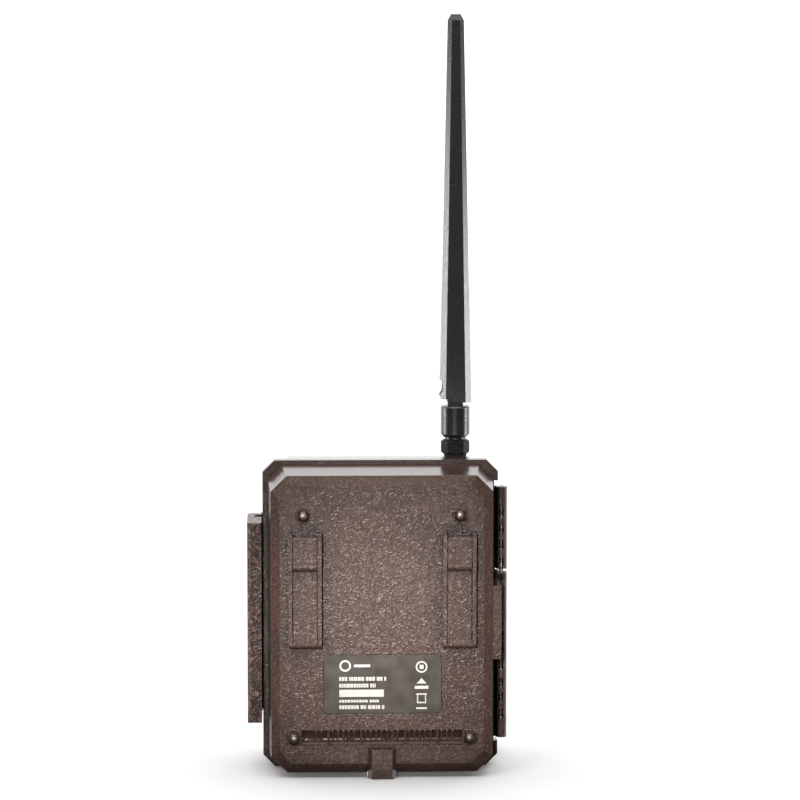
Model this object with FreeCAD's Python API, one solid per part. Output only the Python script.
import FreeCAD, Part
import math
import os

# Trail camera with a paddle antenna, millimetres.
# Frame: the lens looks along -Y, the tree side faces +Y, +Z is up.
# The origin is the mouth of the tripod socket, in the underside of the rear lug.

# ---------------------------------------------------------------- driving dimensions
PART_Y = -28.0          # plane where the two halves of the case meet
SEAM = 0.1              # gap left between the two halves
BACK_Y = 4.0            # flat panel of the back
FRONT_Y = -72.0         # front wall of the case, under the bezel
RIM_HALF_W = 52.4       # rim of both halves
RIM_Z = (0.0, 137.8)
RIM_CUT = 5.2           # 45 degree corner cuts of the rim
RIM_T = 3.6             # rim thickness of each half, along Y
BODY_HALF_W = 50.4      # case wall beside the rim
BODY_Z = (1.6, 136.4)
BACK_HALF_W = 48.8      # edge of the back
BACK_Z = (2.4, 134.0)
PANEL_HALF_W = 44.9     # flat panel inside the sloped border of the back
PANEL_Z = (6.4, 130.0)
BORDER_RISE = 2.0       # the border climbs this much from edge to panel
REAR_FLOOR_Y = 0.6      # inside face of the back wall

HINGE_X = -54.2         # hinge line, in the parting plane
HINGE_R = 2.5
HINGE_PIN_R = 1.1
HINGE_Z = (12.2, 61.3, 88.4, 125.4)     # front knuckle, rear knuckle, front knuckle
HINGE_GAP = 0.15         # between the ends of neighbouring knuckles
HINGE_SCREW_AT = (-53.4, 84.7)
HINGE_SCREW_R = 1.6
BOSS_X = -52.7          # thickening of the rear wall beside the middle knuckle
BOSS_Z = (52.2, 84.7)
HINGE_WINDOWS = ((20.9, 25.2), (28.6, 32.7), (35.4, 39.3), (42.9, 47.2), (50.1, 55.1),
                 (58.1, 60.2), (89.7, 94.3), (97.6, 101.7), (104.8, 108.3), (111.7, 116.6))
HINGE_POCKETS = ((13.5, 18.5), (28.4, 39.1), (98.7, 108.0), (119.0, 124.2))
RIM_NOTCH_Z = (11.0, 128.5)
RIM_NOTCH_X = -50.7

LATCH_AXIS = (55.9, -42.0)
LATCH_R = 3.3
LATCH_Z = (22.1, 111.5)
LATCH_END_Y = -11.0
LATCH_FACE_X = 59.2
LATCH_LIP_X = 52.9      # inner edge of the finger lip
LATCH_KNUCKLE_Z = (52.0, 82.0)
LATCH_PIN_R = 1.2
GUARD_X = 53.3            # rib that closes the view between latch and case
GUARD_Y = (-48.0, -46.6)

SCREW_UP = (34.4, 116.3)
SCREW_LOW = (38.7, 17.5)
SCREW_R = 1.5
SCREW_SEAT_Y = 3.2
SCREW_RING_R = 3.65       # recess around each screw head
SCREW_HEAD_R = 2.6

BRACKET_X = 33.8
BRACKET_W = 14.5
BRACKET_Z = (58.8, 108.0)
BRACKET_BLOCK_Z = 93.0
SLOT_Z = (64.5, 99.5)
SLOT_Y = 9.4              # inside face of the loops, over the strap
PLATE_Y = 11.4            # outside face of their plates
BLOCK_Y = 13.1            # outside face of their blocks
BRACKET_TOP_Y = 14.0
ROLL_R = 2.2              # rounded lower end of the block
RAIL_W = 1.6
RAIL_RISE = 0.8
RAIL_HORN = 1.6           # the rails stand this much above the block
GROOVE_W = 0.5

CHANNEL_HALF = 35.5
CHANNEL_Z = 17.9
CHANNEL_H = 7.0
CHANNEL_DEPTH = 2.0
CHANNEL_RIBS = (23.5, 9.1, -10.2, -24.4)
TOOTH_PITCH = 2.4

LABEL_X = (-26.0, 25.4)
LABEL_Z = (29.0, 54.6)
LABEL_T = 0.35
LABEL_FLOOR_Y = 3.3
LABEL_MARGIN = 0.5

LUG_HALF = 4.45
LUG_BASE_HALF = 6.3
LUG_Y = 7.0
LUG_TOP = 13.9
SOCKET_R = 2.55         # 1/4-20 thread
SOCKET_DEPTH = 10.5
INSERT_R = 3.9
INSERT_TOP = 11.6

ANT = (-34.0, -39.5)    # antenna axis
BOSS_TOP = 137.4
NUT_Z = (138.95, 145.1)
NUT_R = 6.35
SLEEVE_Z = (146.5, 160.4)
SLEEVE_R = 6.45
TILT_Z = 168.6
PADDLE_Z = (162.3, 332.4, 335.1)
HEEL_R = 7.9
HEEL_Z = 163.8
WASHER_Z = (137.4, 138.85)
PADDLE_HALF_W = (7.1, 3.6)
PADDLE_HALF_T = (5.4, 3.2)
PADDLE_CUT = (2.7, 1.8)

IR_X = 34.0
IR_Z = (96.0, 126.0)
LENS_Z = 78.0
LENS_R = 9.6
IR_BOARD_Y = (-66.0, -64.6)
LIGHT_SENSOR_AT = (18.0, 62.0)
STATUS_AT = (-18.0, 62.0)
PIR_Z = 36.0
PIR_HALF = (19.0, 12.0)
PANEL_Y = (-33.5, -31.0)    # inner panel that covers the electronics
BOARD_Y = (-45.0, -43.4)
KEYPAD_Y = (-41.0, -39.6)
KEYPAD_POSTS = ((-31.0, 34.0), (31.0, 34.0), (-31.0, 66.0), (31.0, 66.0))

BAY_HALF_W = 30.2       # battery bay, four cells wide and two rows high
BAY_Z = (20.0, 129.4)
BAY_WALL = 1.2
BAY_Y = -16.0
CELL_R = 7.1
CELL_L = 50.0
CELL_Y = -7.6
CELL_PITCH = 14.9


# ---------------------------------------------------------------- small shapes
def vec(x, y, z):
    return FreeCAD.Vector(x, y, z)


AX, AY, AZ = vec(1, 0, 0), vec(0, 1, 0), vec(0, 0, 1)


def box(x0, x1, y0, y1, z0, z1):
    return Part.makeBox(x1 - x0, y1 - y0, z1 - z0, vec(x0, y0, z0))


def rod_x(r, x0, x1, y, z):
    return Part.makeCylinder(r, x1 - x0, vec(x0, y, z), AX)


def rod_y(r, y0, y1, x, z):
    return Part.makeCylinder(r, y1 - y0, vec(x, y0, z), AY)


def rod_z(r, z0, z1, x, y):
    return Part.makeCylinder(r, z1 - z0, vec(x, y, z0), AZ)


def fuse(first, *rest):
    return first.multiFuse(list(rest)).removeSplitter()


def cut(first, *rest):
    return first.cut(list(rest)).removeSplitter()


def octagon(half_w, z_pair, corner, y):
    """Rectangle with cut corners, standing in the plane y."""
    z0, z1 = z_pair
    pts = [(-half_w + corner, z0), (half_w - corner, z0), (half_w, z0 + corner),
           (half_w, z1 - corner), (half_w - corner, z1), (-half_w + corner, z1),
           (-half_w, z1 - corner), (-half_w, z0 + corner)]
    return Part.makePolygon([vec(x, y, z) for x, z in pts + pts[:1]])


def plate_y(half_w, z_pair, corner, y0, y1):
    face = Part.Face(octagon(half_w, z_pair, corner, y0))
    return face.extrude(vec(0, y1 - y0, 0))


def loft(*wires):
    return Part.makeLoft(list(wires), True, True)


def round_plate_y(x_half, z_mid, z_half, r, y0, y1, x_mid=0.0):
    """Plate with rounded corners."""
    block = box(x_mid - x_half, x_mid + x_half, y0, y1, z_mid - z_half, z_mid + z_half)
    edges = [e for e in block.Edges if abs(e.tangentAt(e.FirstParameter).y) > 0.99]
    return block.makeFillet(r, edges)


def lathe_z(profile, x, y):
    """Turned piece: profile is a list of (radius, z)."""
    pts = [vec(x + r, y, z) for r, z in profile]
    face = Part.Face(Part.makePolygon(pts + pts[:1]))
    return face.revolve(vec(x, y, 0), AZ, 360)


def lathe_y(profile, x, z):
    """Turned piece along Y: profile is a list of (radius, y)."""
    pts = [vec(x + r, y, z) for r, y in profile]
    face = Part.Face(Part.makePolygon(pts + pts[:1]))
    return face.revolve(vec(x, 0, z), AY, 360)


def mirrored(positions):
    return [(side * x, z) for x, z in positions for side in (-1, 1)]


# ---------------------------------------------------------------- rear half of the case
def strap_bracket(side):
    """Moulded loop for the tree strap: thick block above a plate, a rail and a groove down each side."""
    x0 = side * BRACKET_X - BRACKET_W / 2
    x1 = side * BRACKET_X + BRACKET_W / 2
    z0, z1 = BRACKET_Z
    step = BRACKET_BLOCK_Z + ROLL_R
    block = box(x0, x1, BACK_Y, BLOCK_Y, step, z1)
    plate = box(x0, x1, BACK_Y, PLATE_Y, z0, step)
    low = [e for e in plate.Edges if e.BoundBox.YMin > PLATE_Y - 0.1 and e.BoundBox.ZMax < z0 + 0.1]
    plate = plate.makeFillet(1.6, low)
    roll = rod_x(ROLL_R, x0 + RAIL_W, x1 - RAIL_W, BRACKET_TOP_Y - ROLL_R, step)
    rails, grooves = [], []
    for rail_x, groove_x in ((x0, x0 + RAIL_W), (x1 - RAIL_W, x1 - RAIL_W - GROOVE_W)):
        rails.append(box(rail_x, rail_x + RAIL_W, SLOT_Y, PLATE_Y + RAIL_RISE, z0 + 1.8, step))
        rails.append(box(rail_x, rail_x + RAIL_W, SLOT_Y, BRACKET_TOP_Y, BRACKET_BLOCK_Z + 0.6, z1 - 0.6))
        rails.append(box(rail_x, rail_x + RAIL_W, BACK_Y, BLOCK_Y - 0.6, z1 - 1.0, z1 + RAIL_HORN))
        grooves.append(box(groove_x, groove_x + GROOVE_W, PLATE_Y - 0.6, BRACKET_TOP_Y + 1, z0 + 1.8, step))
        grooves.append(box(groove_x, groove_x + GROOVE_W, BLOCK_Y - 0.6, BRACKET_TOP_Y + 1, step, z1 + 1))
    slot = box(x0 - 1, x1 + 1, BACK_Y - 1, SLOT_Y, SLOT_Z[0], SLOT_Z[1])
    return cut(fuse(block, plate, roll, *rails), slot, *grooves)


def cable_channel():
    """Round-bottomed channel across the back."""
    half = CHANNEL_H / 2
    r = (half ** 2 + CHANNEL_DEPTH ** 2) / (2 * CHANNEL_DEPTH)
    return rod_x(r, -CHANNEL_HALF, CHANNEL_HALF, BACK_Y - CHANNEL_DEPTH + r, CHANNEL_Z)


def channel_teeth():
    """Cross ribs in the channel and the row of small teeth on both of its lips."""
    pieces = []
    for x in CHANNEL_RIBS:
        pieces.append(box(x - 0.6, x + 0.6, 1.5, BACK_Y - 0.2, CHANNEL_Z - 3.3, CHANNEL_Z + 3.3))
    count = int(2 * 31.0 / TOOTH_PITCH) + 1
    for i in range(count):
        x = -31.0 + i * TOOTH_PITCH
        if min(abs(x - rib) for rib in CHANNEL_RIBS) < 1.3:
            continue
        pieces.append(box(x - 0.45, x + 0.45, 3.2, 4.5, CHANNEL_Z + 2.9, CHANNEL_Z + 4.3))
        pieces.append(box(x - 0.45, x + 0.45, 3.2, 4.5, CHANNEL_Z - 4.3, CHANNEL_Z - 2.9))
        pieces.append(box(x - 0.3, x + 0.3, 1.5, 2.7, CHANNEL_Z - 2.4, CHANNEL_Z + 2.4))
    return pieces


def tripod_lug():
    """Boss that holds the threaded insert, level with the underside of the rim."""
    base = Part.makePolygon([vec(x, BACK_Y - 0.2, z) for x, z in
                             ((-LUG_BASE_HALF, 0), (LUG_BASE_HALF, 0), (LUG_BASE_HALF, LUG_TOP),
                              (-LUG_BASE_HALF, LUG_TOP), (-LUG_BASE_HALF, 0))])
    top = Part.makePolygon([vec(x, LUG_Y, z) for x, z in
                            ((-LUG_HALF, 0), (LUG_HALF, 0), (LUG_HALF, LUG_TOP - 1),
                             (-LUG_HALF, LUG_TOP - 1), (-LUG_HALF, 0))])
    block = box(-LUG_BASE_HALF, LUG_BASE_HALF, -6.4, BACK_Y - 0.2, 0, LUG_TOP)
    return fuse(loft(base, top), block)


def hinge_knuckle(z0, z1, web_y0, web_y1, web_x):
    """Length of hinge barrel with the web that ties it to the case."""
    barrel = rod_z(HINGE_R, z0, z1, HINGE_X, PART_Y)
    web = box(HINGE_X, web_x, web_y0, web_y1, z0, z1)
    return fuse(barrel, web)


def rim_notch(y0, y1):
    """The rim steps in beside the hinge barrel."""
    z0, z1 = RIM_NOTCH_Z
    return box(-60.0, RIM_NOTCH_X, y0, y1, z0, z1)


def rear_shell():
    edge_y = BACK_Y - BORDER_RISE
    rim = plate_y(RIM_HALF_W, RIM_Z, RIM_CUT, PART_Y, PART_Y + RIM_T)
    rim = rim.cut(rim_notch(PART_Y - 1, PART_Y + RIM_T + 1))
    side = loft(octagon(BODY_HALF_W, BODY_Z, 6.0, PART_Y), octagon(BACK_HALF_W, BACK_Z, 7.0, edge_y))
    crown = loft(octagon(BACK_HALF_W, BACK_Z, 7.0, edge_y), octagon(PANEL_HALF_W, PANEL_Z, 5.6, BACK_Y))
    inside = loft(octagon(47.3, (4.6, 133.6), 6.0, PART_Y - 0.01),
                  octagon(46.4, (5.2, 132.0), 6.6, REAR_FLOOR_Y))
    knuckle = hinge_knuckle(HINGE_Z[1] + HINGE_GAP, HINGE_Z[2] - HINGE_GAP, PART_Y, PART_Y + 2.5, -48.0)
    boss = box(BOSS_X, -48.0, PART_Y, edge_y - 0.6, *BOSS_Z)
    ribs = [box(s * 34.0 - 0.9, s * 34.0 + 0.9, BACK_Y - 0.5, 6.2, BRACKET_Z[1], 112.8) for s in (-1, 1)]
    solid = fuse(rim, side, crown, knuckle, boss)
    solid = cut(solid, inside, cable_channel())
    solid = fuse(solid, tripod_lug(), *ribs, *channel_teeth())
    tools = [rod_z(INSERT_R, -1, INSERT_TOP, 0, 0)]
    tools.append(label_plate(LABEL_MARGIN, LABEL_FLOOR_Y, BACK_Y + 1))
    for x, z in mirrored([SCREW_UP, SCREW_LOW]):
        tools.append(rod_y(SCREW_RING_R, SCREW_SEAT_Y, 8.0, x, z))
        tools.append(rod_y(SCREW_R, -1.0, 5.0, x, z))
    tools.append(rod_z(HINGE_PIN_R, 50.0, 100.0, HINGE_X, PART_Y))
    for z0, z1 in ((HINGE_Z[0], HINGE_Z[1] + HINGE_GAP), (HINGE_Z[2] - HINGE_GAP, HINGE_Z[3])):
        tools.append(rod_z(HINGE_R + 0.4, z0 - 1.0, z1, HINGE_X, PART_Y))
    tools.append(rod_y(HINGE_SCREW_R, PART_Y + 1.3, PART_Y + 4.0, *HINGE_SCREW_AT))
    return cut(solid, *tools)


def strap_loops():
    return [strap_bracket(-1), strap_bracket(1)]


def back_screw(x, z):
    """Domed screw that holds the battery tray through the back wall."""
    seat = SCREW_SEAT_Y
    dome = lathe_y([(0.0, seat), (SCREW_HEAD_R, seat), (SCREW_HEAD_R, seat + 0.8), (2.2, seat + 1.5),
                    (1.3, seat + 2.0), (0.0, seat + 2.2)], x, z)
    return fuse(dome, rod_y(SCREW_R, -8.0, seat, x, z))


def back_screws():
    return [back_screw(x, z) for x, z in mirrored([SCREW_UP, SCREW_LOW])]


def label_plate(grow, y0, y1):
    """Rounded rectangle of the label, grown by a margin for its recess."""
    x_half = (LABEL_X[1] - LABEL_X[0]) / 2 + grow
    z_half = (LABEL_Z[1] - LABEL_Z[0]) / 2 + grow
    z_mid, x_mid = sum(LABEL_Z) / 2, sum(LABEL_X) / 2
    return round_plate_y(x_half, z_mid, z_half, 1.2 + grow, y0, y1, x_mid)


def rear_label():
    return label_plate(0.0, LABEL_FLOOR_Y, LABEL_FLOOR_Y + LABEL_T)


def tripod_insert():
    return cut(rod_z(INSERT_R, 0, INSERT_TOP, 0, 0), rod_z(SOCKET_R, -1, SOCKET_DEPTH, 0, 0))


def hinge_pin():
    return rod_z(HINGE_PIN_R, HINGE_Z[0] + 0.6, HINGE_Z[3] - 0.6, HINGE_X, PART_Y)


def hinge_screw():
    """Small black screw that keeps the hinge pin from working out."""
    x, z = HINGE_SCREW_AT
    head = rod_y(HINGE_SCREW_R, PART_Y + 1.3, PART_Y + 3.0, x, z)
    slot = box(x - 0.3, x + 0.3, PART_Y + 2.5, PART_Y + 3.1, z - 1.3, z + 1.3)
    return cut(head, slot)


# ---------------------------------------------------------------- batteries
def bay_rows():
    mid = (BAY_Z[0] + BAY_Z[1]) / 2
    return ((BAY_Z[0], mid - 0.7), (mid + 0.7, BAY_Z[1]))


def cell_places():
    """x, bottom z of the row, and which way up each cell lies."""
    for row, (z0, z1) in enumerate(bay_rows()):
        for i in range(4):
            yield (i - 1.5) * CELL_PITCH, z0, z1, (i + row) % 2 == 0


def battery_tray():
    outer = box(-BAY_HALF_W - BAY_WALL, BAY_HALF_W + BAY_WALL, BAY_Y, 0.3,
                BAY_Z[0] - BAY_WALL, BAY_Z[1] + BAY_WALL)
    holes = [box(-BAY_HALF_W, BAY_HALF_W, BAY_Y - 1, -0.4, z0, z1) for z0, z1 in bay_rows()]
    ears = box(-44.0, 44.0, -1.5, 0.3, 13.6, 126.8)
    bosses = [rod_y(3.4, -9.0, 0.3, x, z) for x, z in mirrored([SCREW_UP, SCREW_LOW])]
    solid = cut(fuse(outer, ears, *bosses), *holes)
    drill = [rod_y(SCREW_R, -10.0, 1.0, x, z) for x, z in mirrored([SCREW_UP, SCREW_LOW])]
    notch = box(-8.0, 8.0, -20.0, 5.0, 0.0, 15.5)
    return cut(solid, notch, *drill)


def battery_cell(x, z0, z1, upright):
    """One cylindrical cell with its nub, standing clear of its spring."""
    base = z0 + 3.6 if upright else z0 + 0.4
    can = [(0.0, 0.0), (CELL_R - 0.5, 0.0), (CELL_R, 0.4), (CELL_R, CELL_L - 1.6),
           (CELL_R - 0.5, CELL_L - 1.2), (2.7, CELL_L - 1.2), (2.7, CELL_L), (0.0, CELL_L)]
    if upright:
        profile = [(r, base + h) for r, h in can]
    else:
        profile = [(r, base + CELL_L - h) for r, h in reversed(can)]
    return lathe_z(profile, x, CELL_Y)


def battery_cells():
    return [battery_cell(*place) for place in cell_places()]


def battery_spring(x, z0, z1, upright):
    """Coil spring at the flat end of a cell, drawn as three stacked rings and a foot."""
    base = z0 + 0.4 if upright else z1 - 0.4
    step = 1.0 if upright else -1.0
    rings = []
    for i, major in enumerate((4.2, 3.6, 3.0)):
        z = base + step * (0.5 + 1.0 * i)
        rings.append(Part.makeTorus(major, 0.5, vec(x, CELL_Y, z), AZ))
    foot = box(x + 2.8, x + 4.4, CELL_Y - 0.35, CELL_Y + 0.35,
               min(base, base + step * 2.9), max(base, base + step * 2.9))
    return fuse(*rings, foot)


def battery_springs():
    return [battery_spring(*place) for place in cell_places()]


def battery_contacts():
    """Plated strips at both ends of every cell."""
    strips = []
    for x, z0, z1, _ in cell_places():
        for z in (z0, z1 - 0.4):
            strips.append(box(x - 5.5, x + 5.5, BAY_Y + 1.5, -1.0, z, z + 0.4))
    return strips


# ---------------------------------------------------------------- front half of the case
PANEL_SCREWS = ((41.2, 11.5), (41.2, 127.0))
BOARD_SCREWS = ((31.0, 16.5), (31.0, 88.0))
IR_SCREW = (37.0, 111.0)
JACK = (-54.0, 23.5)            # y and z of the power socket in the latch side
FEET = ((-60.0, -30.0), (-60.0, 30.0))


def front_hinge():
    """Two lengths of barrel on a leaf, with windows that show the pin."""
    z0, z1, z2, z3 = HINGE_Z
    leaf_y = (PART_Y - 3.6, PART_Y - 1.0)
    pieces = [hinge_knuckle(z0, z1, *leaf_y, -47.0), hinge_knuckle(z2, z3, *leaf_y, -47.0)]
    pieces.append(box(HINGE_X + 2.9, -47.0, PART_Y - 3.6, PART_Y - SEAM, z0, z3))
    return fuse(*pieces)


def hinge_cuts():
    tools = []
    for z0, z1 in HINGE_WINDOWS:
        tools.append(box(HINGE_X - 0.9, HINGE_X + 1.1, PART_Y, PART_Y + 4.0, z0, z1))
    for z0, z1 in HINGE_POCKETS:
        tools.append(box(-53.0, -49.9, PART_Y - 2.4, PART_Y + 1.0, z0, z1))
    for z0, z1 in ((HINGE_Z[0], HINGE_Z[1]), (HINGE_Z[2], HINGE_Z[3])):
        tools.append(rod_z(HINGE_PIN_R + 0.05, z0 - 1, z1 + 1, HINGE_X, PART_Y))
    tools.append(rod_z(HINGE_R + 0.4, HINGE_Z[1], HINGE_Z[2], HINGE_X, PART_Y))
    return tools


def latch_knuckle():
    """Lug on the side of the front half that carries the latch pin."""
    x, y = LATCH_AXIS
    z0, z1 = LATCH_KNUCKLE_Z
    return fuse(rod_z(LATCH_R, z0, z1, x, y), box(47.6, x, y - 2.4, y + 1.6, z0, z1))


def antenna_boss():
    x, y = ANT
    return lathe_z([(0, 130), (6.6, 130), (6.6, 136.6), (5.9, BOSS_TOP), (0, BOSS_TOP)], x, y)


def front_shell():
    rim = plate_y(RIM_HALF_W, RIM_Z, RIM_CUT, PART_Y - RIM_T, PART_Y - SEAM)
    rim = rim.cut(rim_notch(PART_Y - RIM_T - 1, PART_Y + 1))
    side = loft(octagon(BODY_HALF_W, BODY_Z, 6.0, PART_Y - SEAM), octagon(48.4, (3.0, 134.8), 8.0, -66.0))
    crown = loft(octagon(48.4, (3.0, 134.8), 8.0, -66.0), octagon(44.0, (7.4, 130.4), 7.0, FRONT_Y))
    inside = loft(octagon(47.3, (4.6, 133.6), 6.0, PART_Y + 0.1), octagon(45.6, (5.8, 132.0), 7.2, -65.0))
    inside_crown = loft(octagon(45.6, (5.8, 132.0), 7.2, -65.0),
                        octagon(41.8, (9.6, 128.2), 6.6, -69.8))
    feet = [box(x - 9.0, x + 9.0, y - 4.0, y + 4.0, 0, 5.6) for y, x in FEET]
    solid = fuse(rim, side, crown, front_hinge(), *feet)
    solid = cut(solid, fuse(inside, inside_crown))
    posts = [rod_y(3.0, -67.0, PANEL_Y[0], x, z) for x, z in mirrored(PANEL_SCREWS)]
    posts += [rod_y(2.8, -70.5, BOARD_Y[0], x, z) for x, z in mirrored(BOARD_SCREWS)]
    posts += [rod_y(2.4, -70.5, -66.0, x, z) for x, z in mirrored([IR_SCREW])]
    guard = box(48.9, GUARD_X, *GUARD_Y, *LATCH_Z)
    boss = antenna_boss().cut(box(-60, 60, -80, 0, 120.0, 132.4))
    solid = fuse(solid, latch_knuckle(), guard, boss, *posts)
    tools = hinge_cuts()
    x, y = LATCH_AXIS
    tools.append(rod_z(LATCH_PIN_R, 10, 120, x, y))
    tools.append(rod_z(3.2, 120, 150, *ANT))
    tools.append(box(-IR_X, IR_X, -75, -60, *IR_Z))
    tools.append(rod_y(LENS_R, -75, -60, 0, LENS_Z))
    tools.append(round_plate_y(PIR_HALF[0], PIR_Z, PIR_HALF[1], 3.0, -75, -60))
    tools.append(rod_y(2.6, -75, -60, *LIGHT_SENSOR_AT))
    tools.append(rod_y(1.6, -75, -60, *STATUS_AT))
    tools.append(rod_x(4.2, 45.0, 60.0, *JACK))
    for x, z in mirrored(PANEL_SCREWS):
        tools.append(rod_y(1.2, PANEL_Y[0] - 8.0, PANEL_Y[0] + 1, x, z))
    for x, z in mirrored(BOARD_SCREWS):
        tools.append(rod_y(1.1, BOARD_Y[0] - 6.0, BOARD_Y[0] + 1, x, z))
    for x, z in mirrored([IR_SCREW]):
        tools.append(rod_y(1.0, -69.0, -65.0, x, z))
    groove = cut(plate_y(49.9, (2.6, 135.2), 5.2, PART_Y - 2.2, PART_Y + 1),
                 plate_y(48.5, (4.0, 133.8), 4.8, PART_Y - 3, PART_Y + 2))
    tools.append(groove)
    return cut(solid, *tools)


def case_gasket():
    """Rubber ring in the groove of the front rim, a little shy of the seam."""
    return cut(plate_y(49.9, (2.6, 135.2), 5.2, PART_Y - 2.2, PART_Y - 0.4),
               plate_y(48.5, (4.0, 133.8), 4.8, PART_Y - 3, PART_Y + 2))


def front_bezel():
    """Thin camouflage plate on the front, cut out around the windows."""
    plate = plate_y(43.4, (8.0, 129.8), 6.8, FRONT_Y - 2.0, FRONT_Y)
    hood = lathe_y([(10.6, FRONT_Y), (13.4, FRONT_Y), (12.6, FRONT_Y - 5.0), (10.6, FRONT_Y - 5.0)],
                   0, LENS_Z)
    solid = fuse(plate, hood)
    tools = [round_plate_y(IR_X - 1.5, 111.0, 13.5, 3.0, -80, -60)]
    tools.append(rod_y(10.6, -80, -60, 0, LENS_Z))
    tools.append(round_plate_y(PIR_HALF[0] - 1.0, PIR_Z, PIR_HALF[1] - 1.0, 3.0, -80, -60))
    tools.append(rod_y(2.0, -80, -60, *LIGHT_SENSOR_AT))
    tools.append(rod_y(1.2, -80, -60, *STATUS_AT))
    return cut(solid, *tools)


# ---------------------------------------------------------------- latch
def latch_lever():
    """Long lever on the side: pivots on its pin, its lip reaches past the seam."""
    x, y = LATCH_AXIS
    z0, z1 = LATCH_Z
    face, lip = LATCH_FACE_X, LATCH_LIP_X
    end = LATCH_END_Y
    pts = [(x, y - LATCH_R), (x, y + 1.0), (x + 0.6, end - 6.0), (lip, end - 3.4), (lip, end),
           (face - 1.4, end), (face, end - 1.4), (face, y), (face - 0.9, y - 2.3)]
    outline = Part.makePolygon([vec(px, py, z0) for px, py in pts + pts[:1]])
    plate = Part.Face(outline).extrude(vec(0, 0, z1 - z0))
    solid = fuse(plate, rod_z(LATCH_R, z0, z1, x, y))
    k0, k1 = LATCH_KNUCKLE_Z
    caps = box(lip, face, y + LATCH_R + 6.0, end, z0, z0 + 1.6)
    caps_top = box(lip, face, y + LATCH_R + 6.0, end, z1 - 1.6, z1)
    solid = fuse(solid, caps, caps_top)
    tools = [box(x - 6.0, face + 1.0, y - 6.0, y + LATCH_R + 0.4, k0 - 0.4, k1 + 0.4)]
    tools.append(rod_z(LATCH_PIN_R + 0.05, z0 + 1.6, z1 - 1.6, x, y))
    return cut(solid, *tools)


def latch_pin():
    x, y = LATCH_AXIS
    return rod_z(LATCH_PIN_R, LATCH_Z[0] + 2.0, LATCH_Z[1] - 2.0, x, y)


# ---------------------------------------------------------------- electronics and inner panel
KEYS = {"button_up": (0.0, 62.0), "button_down": (0.0, 38.0), "button_left": (13.0, 50.0),
        "button_right": (-13.0, 50.0), "button_ok": (0.0, 50.0), "button_menu": (27.0, 62.0)}
KEY_R = 4.0
SCREEN_X = 25.0
SCREEN_Z = (78.0, 114.0)
SWITCH_AT = (-28.0, 62.0)
CARD_X, CARD_Z = 39.0, (88.0, 112.0)
SIM_X, SIM_Z = -39.0, (92.0, 107.0)


def main_board():
    board = box(-34.5, 34.5, *BOARD_Y, 12.0, 119.0)
    tools = [rod_y(1.1, BOARD_Y[0] - 1, BOARD_Y[1] + 1, x, z) for x, z in mirrored(BOARD_SCREWS)]
    return cut(board, *tools)


def board_parts():
    """Processor, memory, radio module in its can, inductors and electrolytics."""
    y = BOARD_Y[1]
    chips = [box(-8, 8, y, y + 1.4, 92, 108), box(12, 24, y, y + 1.1, 94, 104),
             box(-28, -12, y, y + 2.4, 92, 116), box(10, 18, y, y + 3.0, 76, 84),
             box(-20, -12, y, y + 1.0, 70, 80)]
    cans = [rod_y(3.1, y, y + 5.0, 27.0, z) for z in (73.5, 81.0)]
    return chips + cans


def board_screws():
    y = BOARD_Y[1]
    screws = []
    for x, z in mirrored(BOARD_SCREWS):
        head = lathe_y([(0.0, y), (2.1, y), (2.1, y + 0.7), (1.4, y + 1.3), (0.0, y + 1.3)], x, z)
        screws.append(fuse(head, rod_y(1.1, y - 6.5, y, x, z)))
    return screws


def inner_panel():
    plate = plate_y(46.6, (5.6, 132.4), 5.8, *PANEL_Y)
    tools = [box(-SCREEN_X, SCREEN_X, -40, -20, *SCREEN_Z)]
    for x, z in KEYS.values():
        tools.append(rod_y(KEY_R + 0.3, -40, -20, x, z))
    x, z = SWITCH_AT
    tools.append(box(x - 5.5, x + 5.5, -40, -20, z - 1.9, z + 1.9))
    tools.append(box(CARD_X - 1.4, CARD_X + 1.4, -40, -20, CARD_Z[0] - 0.6, CARD_Z[1] + 0.6))
    tools.append(box(SIM_X - 0.9, SIM_X + 0.9, -40, -20, SIM_Z[0] - 0.6, SIM_Z[1] + 0.6))
    for px, pz in mirrored(PANEL_SCREWS):
        tools.append(rod_y(1.2, -40, -20, px, pz))
        tools.append(rod_y(2.6, -32.0, -20, px, pz))
    return cut(plate, *tools)


def panel_screws():
    screws = []
    for x, z in mirrored(PANEL_SCREWS):
        head = rod_y(2.4, -32.0, -31.0, x, z)
        cross = fuse(box(x - 1.3, x + 1.3, -31.5, -30.5, z - 0.25, z + 0.25),
                     box(x - 0.25, x + 0.25, -31.5, -30.5, z - 1.3, z + 1.3))
        screws.append(cut(fuse(head, rod_y(1.2, -41.0, -32.0, x, z)), cross))
    return screws


def display_screen():
    return box(-SCREEN_X - 3.0, SCREEN_X + 3.0, -36.4, PANEL_Y[0], SCREEN_Z[0] - 3.0, SCREEN_Z[1] + 3.0)


def display_window():
    return box(-SCREEN_X, SCREEN_X, PANEL_Y[0], -31.8, *SCREEN_Z)


def keypad_board():
    board = box(-34.0, 34.0, *KEYPAD_Y, 31.0, 69.0)
    return cut(board, *[rod_y(2.4, -45, -35, x, z) for x, z in KEYPAD_POSTS])


def keypad_posts():
    """Brass spacers between the keypad board and the main board."""
    return [rod_y(2.4, BOARD_Y[1], KEYPAD_Y[1], x, z) for x, z in KEYPAD_POSTS]


def tact_switches():
    out = []
    for x, z in KEYS.values():
        body = box(x - 2.6, x + 2.6, KEYPAD_Y[1], -37.0, z - 2.6, z + 2.6)
        out.append(fuse(body, rod_y(1.3, -37.0, -36.4, x, z)))
    return out


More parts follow.
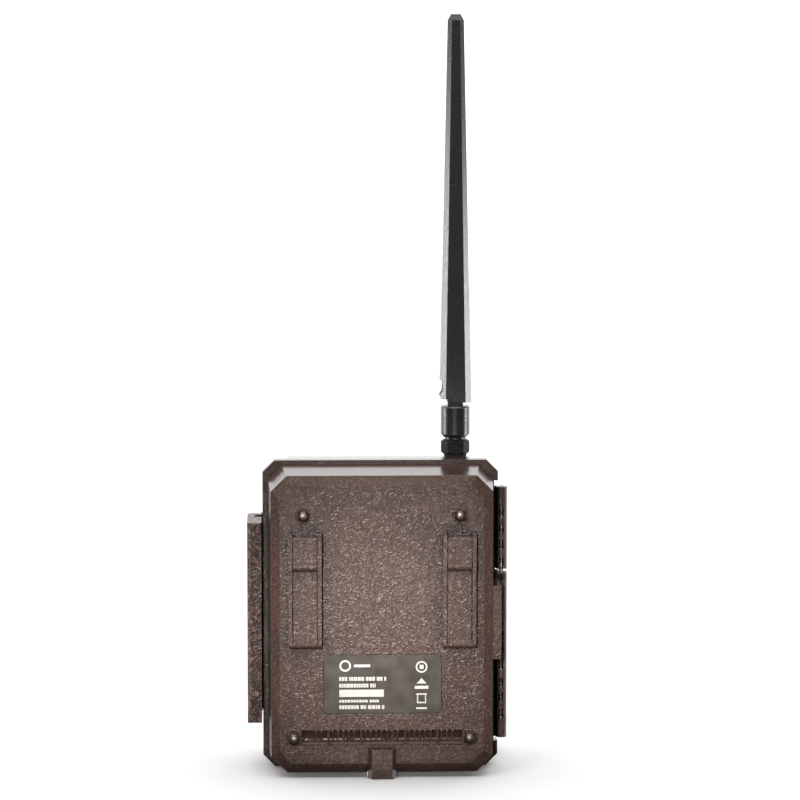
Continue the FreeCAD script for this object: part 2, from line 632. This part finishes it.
def key_button(x, z):
    """Rubber key: cap through the panel, flange and stem behind it."""
    flange_r, cap_r = KEY_R + 1.0, KEY_R - 0.1
    return lathe_y([(0.0, -35.2), (1.6, -35.2), (1.6, -34.7), (flange_r, -34.7), (flange_r, -33.8),
                    (cap_r, -33.8), (cap_r, -30.2), (cap_r - 0.6, -29.6), (0.0, -29.6)], x, z)


def switch_knob():
    x, z = SWITCH_AT
    x -= 3.0
    knob = box(x - 1.6, x + 1.6, -34.6, -29.8, z - 1.3, z + 1.3)
    return fuse(knob, box(x - 2.2, x + 2.2, -35.4, -34.6, z - 2.2, z + 2.2))


def switch_body():
    x, z = SWITCH_AT
    return box(x - 6.5, x + 6.5, KEYPAD_Y[1], -35.8, z - 3.0, z + 3.0)


def card_socket(mid_x, half_x, z_pair, depth):
    """Sheet metal box, open towards the panel."""
    z0, z1 = z_pair
    mouth = PANEL_Y[0]
    shell = box(mid_x - half_x, mid_x + half_x, mouth - depth, mouth, z0 - 1.0, z1 + 1.0)
    room = box(mid_x - half_x + 0.5, mid_x + half_x - 0.5, mouth - depth + 0.8, mouth + 1, z0 - 0.4, z1 + 0.4)
    return cut(shell, room)


def sd_socket():
    return card_socket(CARD_X, 1.9, CARD_Z, 29.6)


def sd_card():
    """Memory card with its one cut corner."""
    card = box(CARD_X - 1.05, CARD_X + 1.05, -61.6, -29.6, *CARD_Z)
    x, z = CARD_X - 2, CARD_Z[0]
    corner = Part.makePolygon([vec(x, -61.7, z - 0.1), vec(x, -57.5, z - 0.1),
                               vec(x, -61.7, z + 4.1), vec(x, -61.7, z - 0.1)])
    return cut(card, Part.Face(corner).extrude(vec(4, 0, 0)))


def sim_socket():
    return card_socket(SIM_X, 1.3, SIM_Z, 22.0)


def sim_card():
    return box(SIM_X - 0.4, SIM_X + 0.4, -54.4, -29.8, *SIM_Z)


# ---------------------------------------------------------------- lens, lamps and sensors
def lens_holder():
    block = box(-11.0, 11.0, -56.0, BOARD_Y[0], LENS_Z - 11.0, LENS_Z + 11.0)
    slot = box(-12.0, 12.0, -50.8, -48.6, LENS_Z - 5.6, LENS_Z + 5.6)
    return cut(block, rod_y(5.0, -57.0, BOARD_Y[0] - 1.5, 0, LENS_Z), slot)


def ir_cut_filter():
    """Sliding carrier with its red-blocking glass, moved aside for night pictures."""
    return box(-10.5, 1.5 + 3.4, -50.2, -49.2, LENS_Z - 5.0, LENS_Z + 5.0)


def lens_barrel():
    outer = lathe_y([(3.2, -68.6), (7.6, -68.6), (7.6, -64.0), (6.6, -62.6), (6.6, -56.0), (3.2, -56.0)],
                    0, LENS_Z)
    front = lathe_y([(0.0, -67.4), (1.6, -67.2), (3.2, -66.6), (3.2, -62.0), (0.0, -62.0)], 0, LENS_Z)
    return fuse(outer, front)


def lens_window():
    return rod_y(LENS_R, FRONT_Y, FRONT_Y + 1.6, 0, LENS_Z)


def ir_board():
    board = box(-39.5, 39.5, *IR_BOARD_Y, 97.0, 125.0)
    cuts = [rod_y(1.0, -70, -60, x, z) for x, z in mirrored([IR_SCREW])]
    cuts.append(box(34.4, 43.0, -70, -60, 113.8, 130.0))
    cuts.append(box(-43.0, -34.4, -70, -60, 113.8, 130.0))
    return cut(board, *cuts)


def ir_board_screws():
    out = []
    for x, z in mirrored([IR_SCREW]):
        seat = IR_BOARD_Y[1]
        out.append(fuse(rod_y(2.0, seat, seat + 1.0, x, z), rod_y(1.0, -69.0, seat, x, z)))
    return out


def ir_lamps():
    lamps = []
    for row in range(5):
        for col in range(8):
            x, z = (col - 3.5) * 8.0, 111.0 + (row - 2) * 5.6
            foot = IR_BOARD_Y[0]
            lamps.append(lathe_y([(0.0, foot), (2.4, foot), (2.4, foot - 0.8), (2.0, foot - 0.8),
                                  (2.0, foot - 3.2), (1.2, foot - 4.2), (0.0, foot - 4.5)], x, z))
    return lamps


def ir_window():
    return box(-IR_X, IR_X, FRONT_Y, -70.8, *IR_Z)


def pir_lens():
    """Domed Fresnel lens of the motion sensor."""
    plate = round_plate_y(PIR_HALF[0], PIR_Z, PIR_HALF[1], 3.0, FRONT_Y, FRONT_Y + 1.0)
    ball_r = 26.0
    dome = Part.makeSphere(ball_r, vec(0, FRONT_Y + ball_r - 4.6, PIR_Z))
    inner = Part.makeSphere(ball_r - 1.0, vec(0, FRONT_Y + ball_r - 4.6, PIR_Z))
    cap = dome.common(box(-15.5, 15.5, -90, FRONT_Y, PIR_Z - 9.0, PIR_Z + 9.0)).cut(inner)
    return fuse(plate, cap)


def pir_sensor():
    can = rod_y(4.1, -52.0, -48.2, 0, PIR_Z)
    flange = rod_y(4.6, -48.2, -47.4, 0, PIR_Z)
    return fuse(can, flange, box(-5.0, 5.0, -47.4, BOARD_Y[0], PIR_Z - 5.0, PIR_Z + 5.0))


def light_sensor():
    return lathe_y([(0, -71.6), (1.4, -71.2), (1.9, -70.4), (1.9, -66.0), (3.2, -66.0), (3.2, -64.6),
                    (0, -64.6)], *LIGHT_SENSOR_AT)


def status_light():
    return lathe_y([(0, -72.4), (1.1, -71.8), (1.1, -66.0), (2.4, -66.0), (2.4, -64.6), (0, -64.6)],
                   *STATUS_AT)


def power_jack():
    """External supply socket behind the rubber plug."""
    y, z = JACK
    return cut(rod_x(4.0, 38.0, 46.8, y, z), rod_x(2.8, 40.0, 47.0, y, z))


def jack_plug():
    """Rubber stopper: stem in the socket, body in the wall, round grip outside."""
    y, z = JACK
    stem = rod_x(2.5, 41.0, 48.0, y, z)
    body = rod_x(3.9, 47.2, 49.6, y, z)
    return fuse(stem, body, rod_x(5.2, 49.4, 50.9, y, z))


# ---------------------------------------------------------------- antenna
def antenna_connector():
    """Threaded socket through the top wall."""
    x, y = ANT
    return lathe_z([(0.7, 122.0), (4.0, 122.0), (4.0, 130.2), (3.2, 130.2), (3.2, 138.9), (3.0, 138.9),
                    (3.0, 144.0), (2.2, 144.0), (2.2, 140.0), (0.7, 140.0)], x, y)


def hexagon(r, x, y, z0, z1):
    pts = [vec(x + r * math.cos(math.radians(60 * i)), y + r * math.sin(math.radians(60 * i)), z0)
           for i in range(6)]
    return Part.Face(Part.makePolygon(pts + pts[:1])).extrude(vec(0, 0, z1 - z0))


def antenna_lock_nut():
    return cut(hexagon(5.0, *ANT, 130.3, 132.4), rod_z(3.2, 125, 140, *ANT))


def antenna_washer():
    return cut(rod_z(5.0, *WASHER_Z, *ANT), rod_z(3.2, 130, 145, *ANT))


def antenna_nut():
    """Hexagonal coupling nut that screws onto the socket, its corners turned off at both ends."""
    x, y = ANT
    z0, z1 = NUT_Z
    hexes = hexagon(NUT_R + 0.25, x, y, z0, z1)
    turned = lathe_z([(0.0, z0), (NUT_R - 0.9, z0), (NUT_R, z0 + 0.9), (NUT_R, z1 - 0.7),
                      (NUT_R - 0.7, z1), (0.0, z1)], x, y)
    return cut(hexes.common(turned), rod_z(3.5, z0 - 1, z1 + 1, x, y))


def antenna_sleeve():
    """Turned sleeve over the nut, with the tongue that the paddle folds on."""
    x, y = ANT
    z0, z1 = SLEEVE_Z
    body = lathe_z([(0.0, 144.4), (1.9, 144.4), (1.9, 145.5), (4.7, 145.5), (4.7, z0), (5.2, z0),
                    (SLEEVE_R, z0 + 1.3), (SLEEVE_R, z1 - 0.5), (SLEEVE_R - 0.5, z1), (0.0, z1)], x, y)
    tongue = fuse(box(x - 3.4, x + 3.4, y - 2.3, y + 2.3, z1 - 0.5, TILT_Z),
                  rod_y(3.4, y - 2.3, y + 2.3, x, TILT_Z))
    return cut(fuse(body, tongue), rod_y(1.05, y - 5, y + 5, x, TILT_Z))


def antenna_hinge_pin():
    x, y = ANT
    return rod_y(1.0, y - 4.9, y + 4.9, x, TILT_Z)


def paddle_section(half_w, half_t, corner, z):
    """Outline of the paddle at one height: flat faces with bevelled edges."""
    x, y = ANT
    pts = [(-half_w, -half_t + corner), (-half_w + corner, -half_t), (half_w - corner, -half_t),
           (half_w, -half_t + corner), (half_w, half_t - corner), (half_w - corner, half_t),
           (-half_w + corner, half_t), (-half_w, half_t - corner)]
    return Part.makePolygon([vec(x + px, y + py, z) for px, py in pts + pts[:1]])


def antenna_paddle():
    x, y = ANT
    z0, z1, z2 = PADDLE_Z
    w0, w1 = PADDLE_HALF_W
    t0, t1 = PADDLE_HALF_T
    c0, c1 = PADDLE_CUT
    blade = loft(paddle_section(w0, t0, c0, z0), paddle_section(w1, t1, c1, z1))
    tip = loft(paddle_section(w1, t1, c1, z1), paddle_section(w1 - 1.5, t1 - 1.3, c1 - 0.7, z2))
    room = box(x - 4.0, x + 9.0, y - 2.6, y + 2.6, z0 - 1, TILT_Z + 4.2)
    rim = [rod_x(3.8, x + 5.4, x + 9.0, y, z) for z in (168.5, 169.8)]
    heel = box(x + 3.7, x + 9.0, y - 9, y + 9, z0 - 1, HEEL_Z)
    curve = box(x, x + 9.0, y - 9, y + 9, z0 - 1, TILT_Z).cut(rod_y(HEEL_R, y - 9, y + 9, x, TILT_Z))
    return cut(fuse(blade, tip), room, heel, curve, *rim, rod_y(1.0, y - 4.9, y + 4.9, x, TILT_Z))


# ---------------------------------------------------------------- write every node
NODES = {
    "rear_shell": rear_shell, "strap_loops": strap_loops, "back_screws": back_screws,
    "rear_label": rear_label,
    "tripod_insert": tripod_insert, "hinge_pin": hinge_pin, "hinge_screw": hinge_screw,
    "battery_tray": battery_tray, "battery_cells": battery_cells,
    "battery_springs": battery_springs, "battery_contacts": battery_contacts,
    "front_shell": front_shell, "case_gasket": case_gasket, "front_bezel": front_bezel,
    "latch_lever": latch_lever, "latch_pin": latch_pin,
    "main_board": main_board, "board_parts": board_parts, "board_screws": board_screws,
    "inner_panel": inner_panel, "panel_screws": panel_screws,
    "display_screen": display_screen, "display_window": display_window,
    "keypad_board": keypad_board, "keypad_posts": keypad_posts, "tact_switches": tact_switches,
    "switch_knob": switch_knob, "switch_body": switch_body,
    "sd_socket": sd_socket, "sd_card": sd_card, "sim_socket": sim_socket, "sim_card": sim_card,
    "lens_holder": lens_holder, "ir_cut_filter": ir_cut_filter, "lens_barrel": lens_barrel,
    "lens_window": lens_window, "ir_board": ir_board, "ir_board_screws": ir_board_screws,
    "ir_lamps": ir_lamps, "ir_window": ir_window, "pir_lens": pir_lens, "pir_sensor": pir_sensor,
    "light_sensor": light_sensor, "status_light": status_light,
    "power_jack": power_jack, "jack_plug": jack_plug,
    "antenna_connector": antenna_connector, "antenna_lock_nut": antenna_lock_nut,
    "antenna_washer": antenna_washer, "antenna_nut": antenna_nut, "antenna_sleeve": antenna_sleeve,
    "antenna_hinge_pin": antenna_hinge_pin, "antenna_paddle": antenna_paddle,
}


def write(name, made):
    shape = Part.makeCompound(made) if isinstance(made, list) else made
    shape.exportStep("parts/" + name + ".step")
    solids = shape.Solids
    b = shape.BoundBox
    good = all(s.isValid() for s in solids)
    print("%-18s solids %2d valid %s  x %.1f %.1f  y %.1f %.1f  z %.1f %.1f" % (
        name, len(solids), good, b.XMin, b.XMax, b.YMin, b.YMax, b.ZMin, b.ZMax))


os.makedirs("parts", exist_ok=True)
for node, make in NODES.items():
    write(node, make())
for key, place in KEYS.items():
    write(key, key_button(*place))
